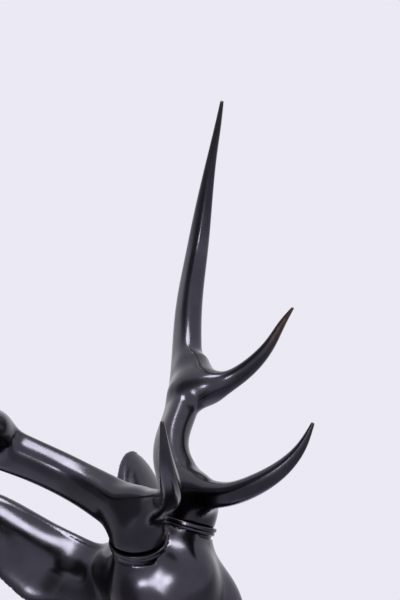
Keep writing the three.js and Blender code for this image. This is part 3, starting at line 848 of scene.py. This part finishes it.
def wear_on_antler(obj, place):
    points = vertex_array(obj)
    left = points if place > 0 else turn_back(points)
    wear = np.zeros(len(points))
    for branch, reach, most in TIP_WEAR:
        s = in_chunks(lambda p, b=branch: b.section(p)[0], left)
        near = in_chunks(branch.field, left) < BRANCH_SKIN
        tip = (len(branch.centre) - 1) * branch.step
        wear = np.maximum(wear, most * near * smoothstep(s, tip - reach, tip - TIP_END))
    colour_attribute(obj, "wear", wear)


def wear_on_bust(obj):
    points = vertex_array(obj)
    wear = np.zeros(len(points))
    for place in (1, -1):
        radius, height = on_socket(points, place)
        wear += RIM_WEAR * np.exp(-((radius - RIM_RADIUS) ** 2 + height ** 2) / 2)
    colour_attribute(obj, "wear", wear)


slot_colour = frame["record"]["materials"][0]["base_color"]
finish = bronze("black_patina_bronze", slot_colour)

pieces = {"head_and_neck": bust(), "antler_left": antler(1), "antler_right": antler(-1)}
wear_on_bust(pieces["head_and_neck"])
wear_on_antler(pieces["antler_left"], 1)
wear_on_antler(pieces["antler_right"], -1)
for node, piece in pieces.items():
    piece.data.materials.clear()
    piece.data.materials.append(finish)
    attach(piece, "root")
    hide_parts(node)
for node in frame["nodes"].values():
    node.data.materials.clear()
    node.data.materials.append(finish)


# Stage: a pale floor that runs out into the backdrop, soft light and the camera

BACKDROP = (0.83, 0.815, 0.895)
ROOM_LIGHT = 1.75           # how bright the pale room is, seen from the bust
ROOM_TINT = (1.0, 0.965, 1.06)
DARK_SIDE = (-0.84, 0.34, 0.42)
DARK_RANGE, DARK_SHARE = (0.62, 0.95), 0.22
FAR_SIDE = (0.667, 0.74, 0.05)
FAR_RANGE, FAR_SHARE = (0.3, 0.9), 0.55
FLOOR_RADIUS, FLOOR_RINGS, FLOOR_SIDES, FLOOR_SPREAD = 9.0, 48, 96, 1.6
FLOOR_FADE = (0.25, 0.58)   # the floor's shading turns into the backdrop between these
FLOOR_ROUGHNESS = 0.9

# Camera: place, tilt and turn in degrees, and the focal length in picture heights
CAMERA_AT = (-0.460, -0.664, 0.685)
CAMERA_TILT, CAMERA_TURN = 85.2, -42.0
SENSOR_WIDTH = 36.0
FOCAL_LENGTH = 768.0 / 600.0
CLIP_START = 0.02


def stage_floor():
    rings, sides = FLOOR_RINGS, FLOOR_SIDES
    points, faces = [(0.0, 0.0, 0.0)], []
    for ring in range(1, rings + 1):
        r = FLOOR_RADIUS * (ring / rings) ** FLOOR_SPREAD
        for k in range(sides):
            a = 2 * math.pi * k / sides
            points.append((r * math.cos(a), r * math.sin(a), 0.0))
    for k in range(sides):
        after = (k + 1) % sides
        faces.append((0, 1 + k, 1 + after))
        for ring in range(rings - 1):
            a, b = 1 + ring * sides, 1 + (ring + 1) * sides
            faces.append((a + k, b + k, b + after, a + after))
    mesh = bpy.data.meshes.new("floor")
    mesh.from_pydata(points, [], faces)
    floor = in_scene("floor", mesh)
    material = bpy.data.materials.new("pale_floor")
    material.use_nodes = True
    nodes, links = material.node_tree.nodes, material.node_tree.links
    paint = nodes["Principled BSDF"]
    paint.inputs["Base Color"].default_value = (*BACKDROP, 1)
    paint.inputs["Roughness"].default_value = FLOOR_ROUGHNESS
    glow = nodes.new("ShaderNodeEmission")
    glow.inputs["Color"].default_value = (*BACKDROP, 1)
    place = nodes.new("ShaderNodeTexCoord")
    length = nodes.new("ShaderNodeVectorMath")
    length.operation = "LENGTH"
    links.new(place.outputs["Object"], length.inputs[0])
    fade = nodes.new("ShaderNodeMapRange")
    fade.interpolation_type = "SMOOTHSTEP"
    fade.inputs["From Min"].default_value = FLOOR_FADE[0]
    fade.inputs["From Max"].default_value = FLOOR_FADE[1]
    links.new(length.outputs["Value"], fade.inputs["Value"])
    mix = nodes.new("ShaderNodeMixShader")
    links.new(fade.outputs["Result"], mix.inputs["Fac"])
    links.new(paint.outputs["BSDF"], mix.inputs[1])
    links.new(glow.outputs["Emission"], mix.inputs[2])
    links.new(mix.outputs["Shader"], nodes["Material Output"].inputs["Surface"])
    mesh.materials.append(material)


def surroundings():
    """The room: pale all round, darker on two sides, and plain pale to the camera."""
    world = bpy.data.worlds.new("room")
    bpy.context.scene.world = world
    world.use_nodes = True
    nodes, links = world.node_tree.nodes, world.node_tree.links
    plain = nodes["Background"]
    plain.inputs["Color"].default_value = (*BACKDROP, 1)
    place = nodes.new("ShaderNodeTexCoord")

    def towards(direction, low, high, at_low, at_high):
        dot = nodes.new("ShaderNodeVectorMath")
        dot.operation = "DOT_PRODUCT"
        links.new(place.outputs["Generated"], dot.inputs[0])
        dot.inputs[1].default_value = direction
        level = nodes.new("ShaderNodeMapRange")
        level.interpolation_type = "SMOOTHSTEP"
        for socket, value in (("From Min", low), ("From Max", high),
                              ("To Min", at_low), ("To Max", at_high)):
            level.inputs[socket].default_value = value
        links.new(dot.outputs["Value"], level.inputs["Value"])
        return level.outputs["Result"]

    light = nodes.new("ShaderNodeMath")
    light.operation = "MULTIPLY"
    side_light = towards(DARK_SIDE, *DARK_RANGE, ROOM_LIGHT, DARK_SHARE * ROOM_LIGHT)
    links.new(side_light, light.inputs[0])
    links.new(towards(FAR_SIDE, *FAR_RANGE, 1.0, FAR_SHARE), light.inputs[1])
    room = nodes.new("ShaderNodeBackground")
    room.inputs["Color"].default_value = (*ROOM_TINT, 1)
    links.new(light.outputs[0], room.inputs["Strength"])
    ray = nodes.new("ShaderNodeLightPath")
    mix = nodes.new("ShaderNodeMixShader")
    links.new(ray.outputs["Is Camera Ray"], mix.inputs["Fac"])
    links.new(room.outputs["Background"], mix.inputs[1])
    links.new(plain.outputs["Background"], mix.inputs[2])
    links.new(mix.outputs["Shader"], nodes["World Output"].inputs["Surface"])


def lamp(name, place, aim, size, power, shape="RECTANGLE"):
    light = bpy.data.lights.new(name, "AREA")
    light.shape = shape
    light.size = size[0]
    if shape == "RECTANGLE":
        light.size_y = size[1]
    light.energy = power
    obj = in_scene(name, light)
    obj.location = place
    obj.rotation_euler = (Vector(aim) - Vector(place)).to_track_quat("-Z", "Y").to_euler()
    obj.visible_camera = False


def camera():
    data = bpy.data.cameras.new("camera")
    data.sensor_width = SENSOR_WIDTH
    data.lens = FOCAL_LENGTH * SENSOR_WIDTH
    data.clip_start = CLIP_START
    obj = in_scene("camera", data)
    obj.location = CAMERA_AT
    obj.rotation_euler = (math.radians(CAMERA_TILT), 0, math.radians(CAMERA_TURN))
    bpy.context.scene.camera = obj


stage_floor()
surroundings()
lamp("overhead", place=(0.25, 0.02, 1.90), aim=(-0.1, 0.0, 0.45), size=(0.6, 0.7), power=34)
lamp("round", place=(-1.72, -1.17, 1.24), aim=(0, -0.1, 0.4), size=(0.42,), power=18, shape="DISK")
camera()
bpy.context.scene.view_settings.view_transform = "Standard"
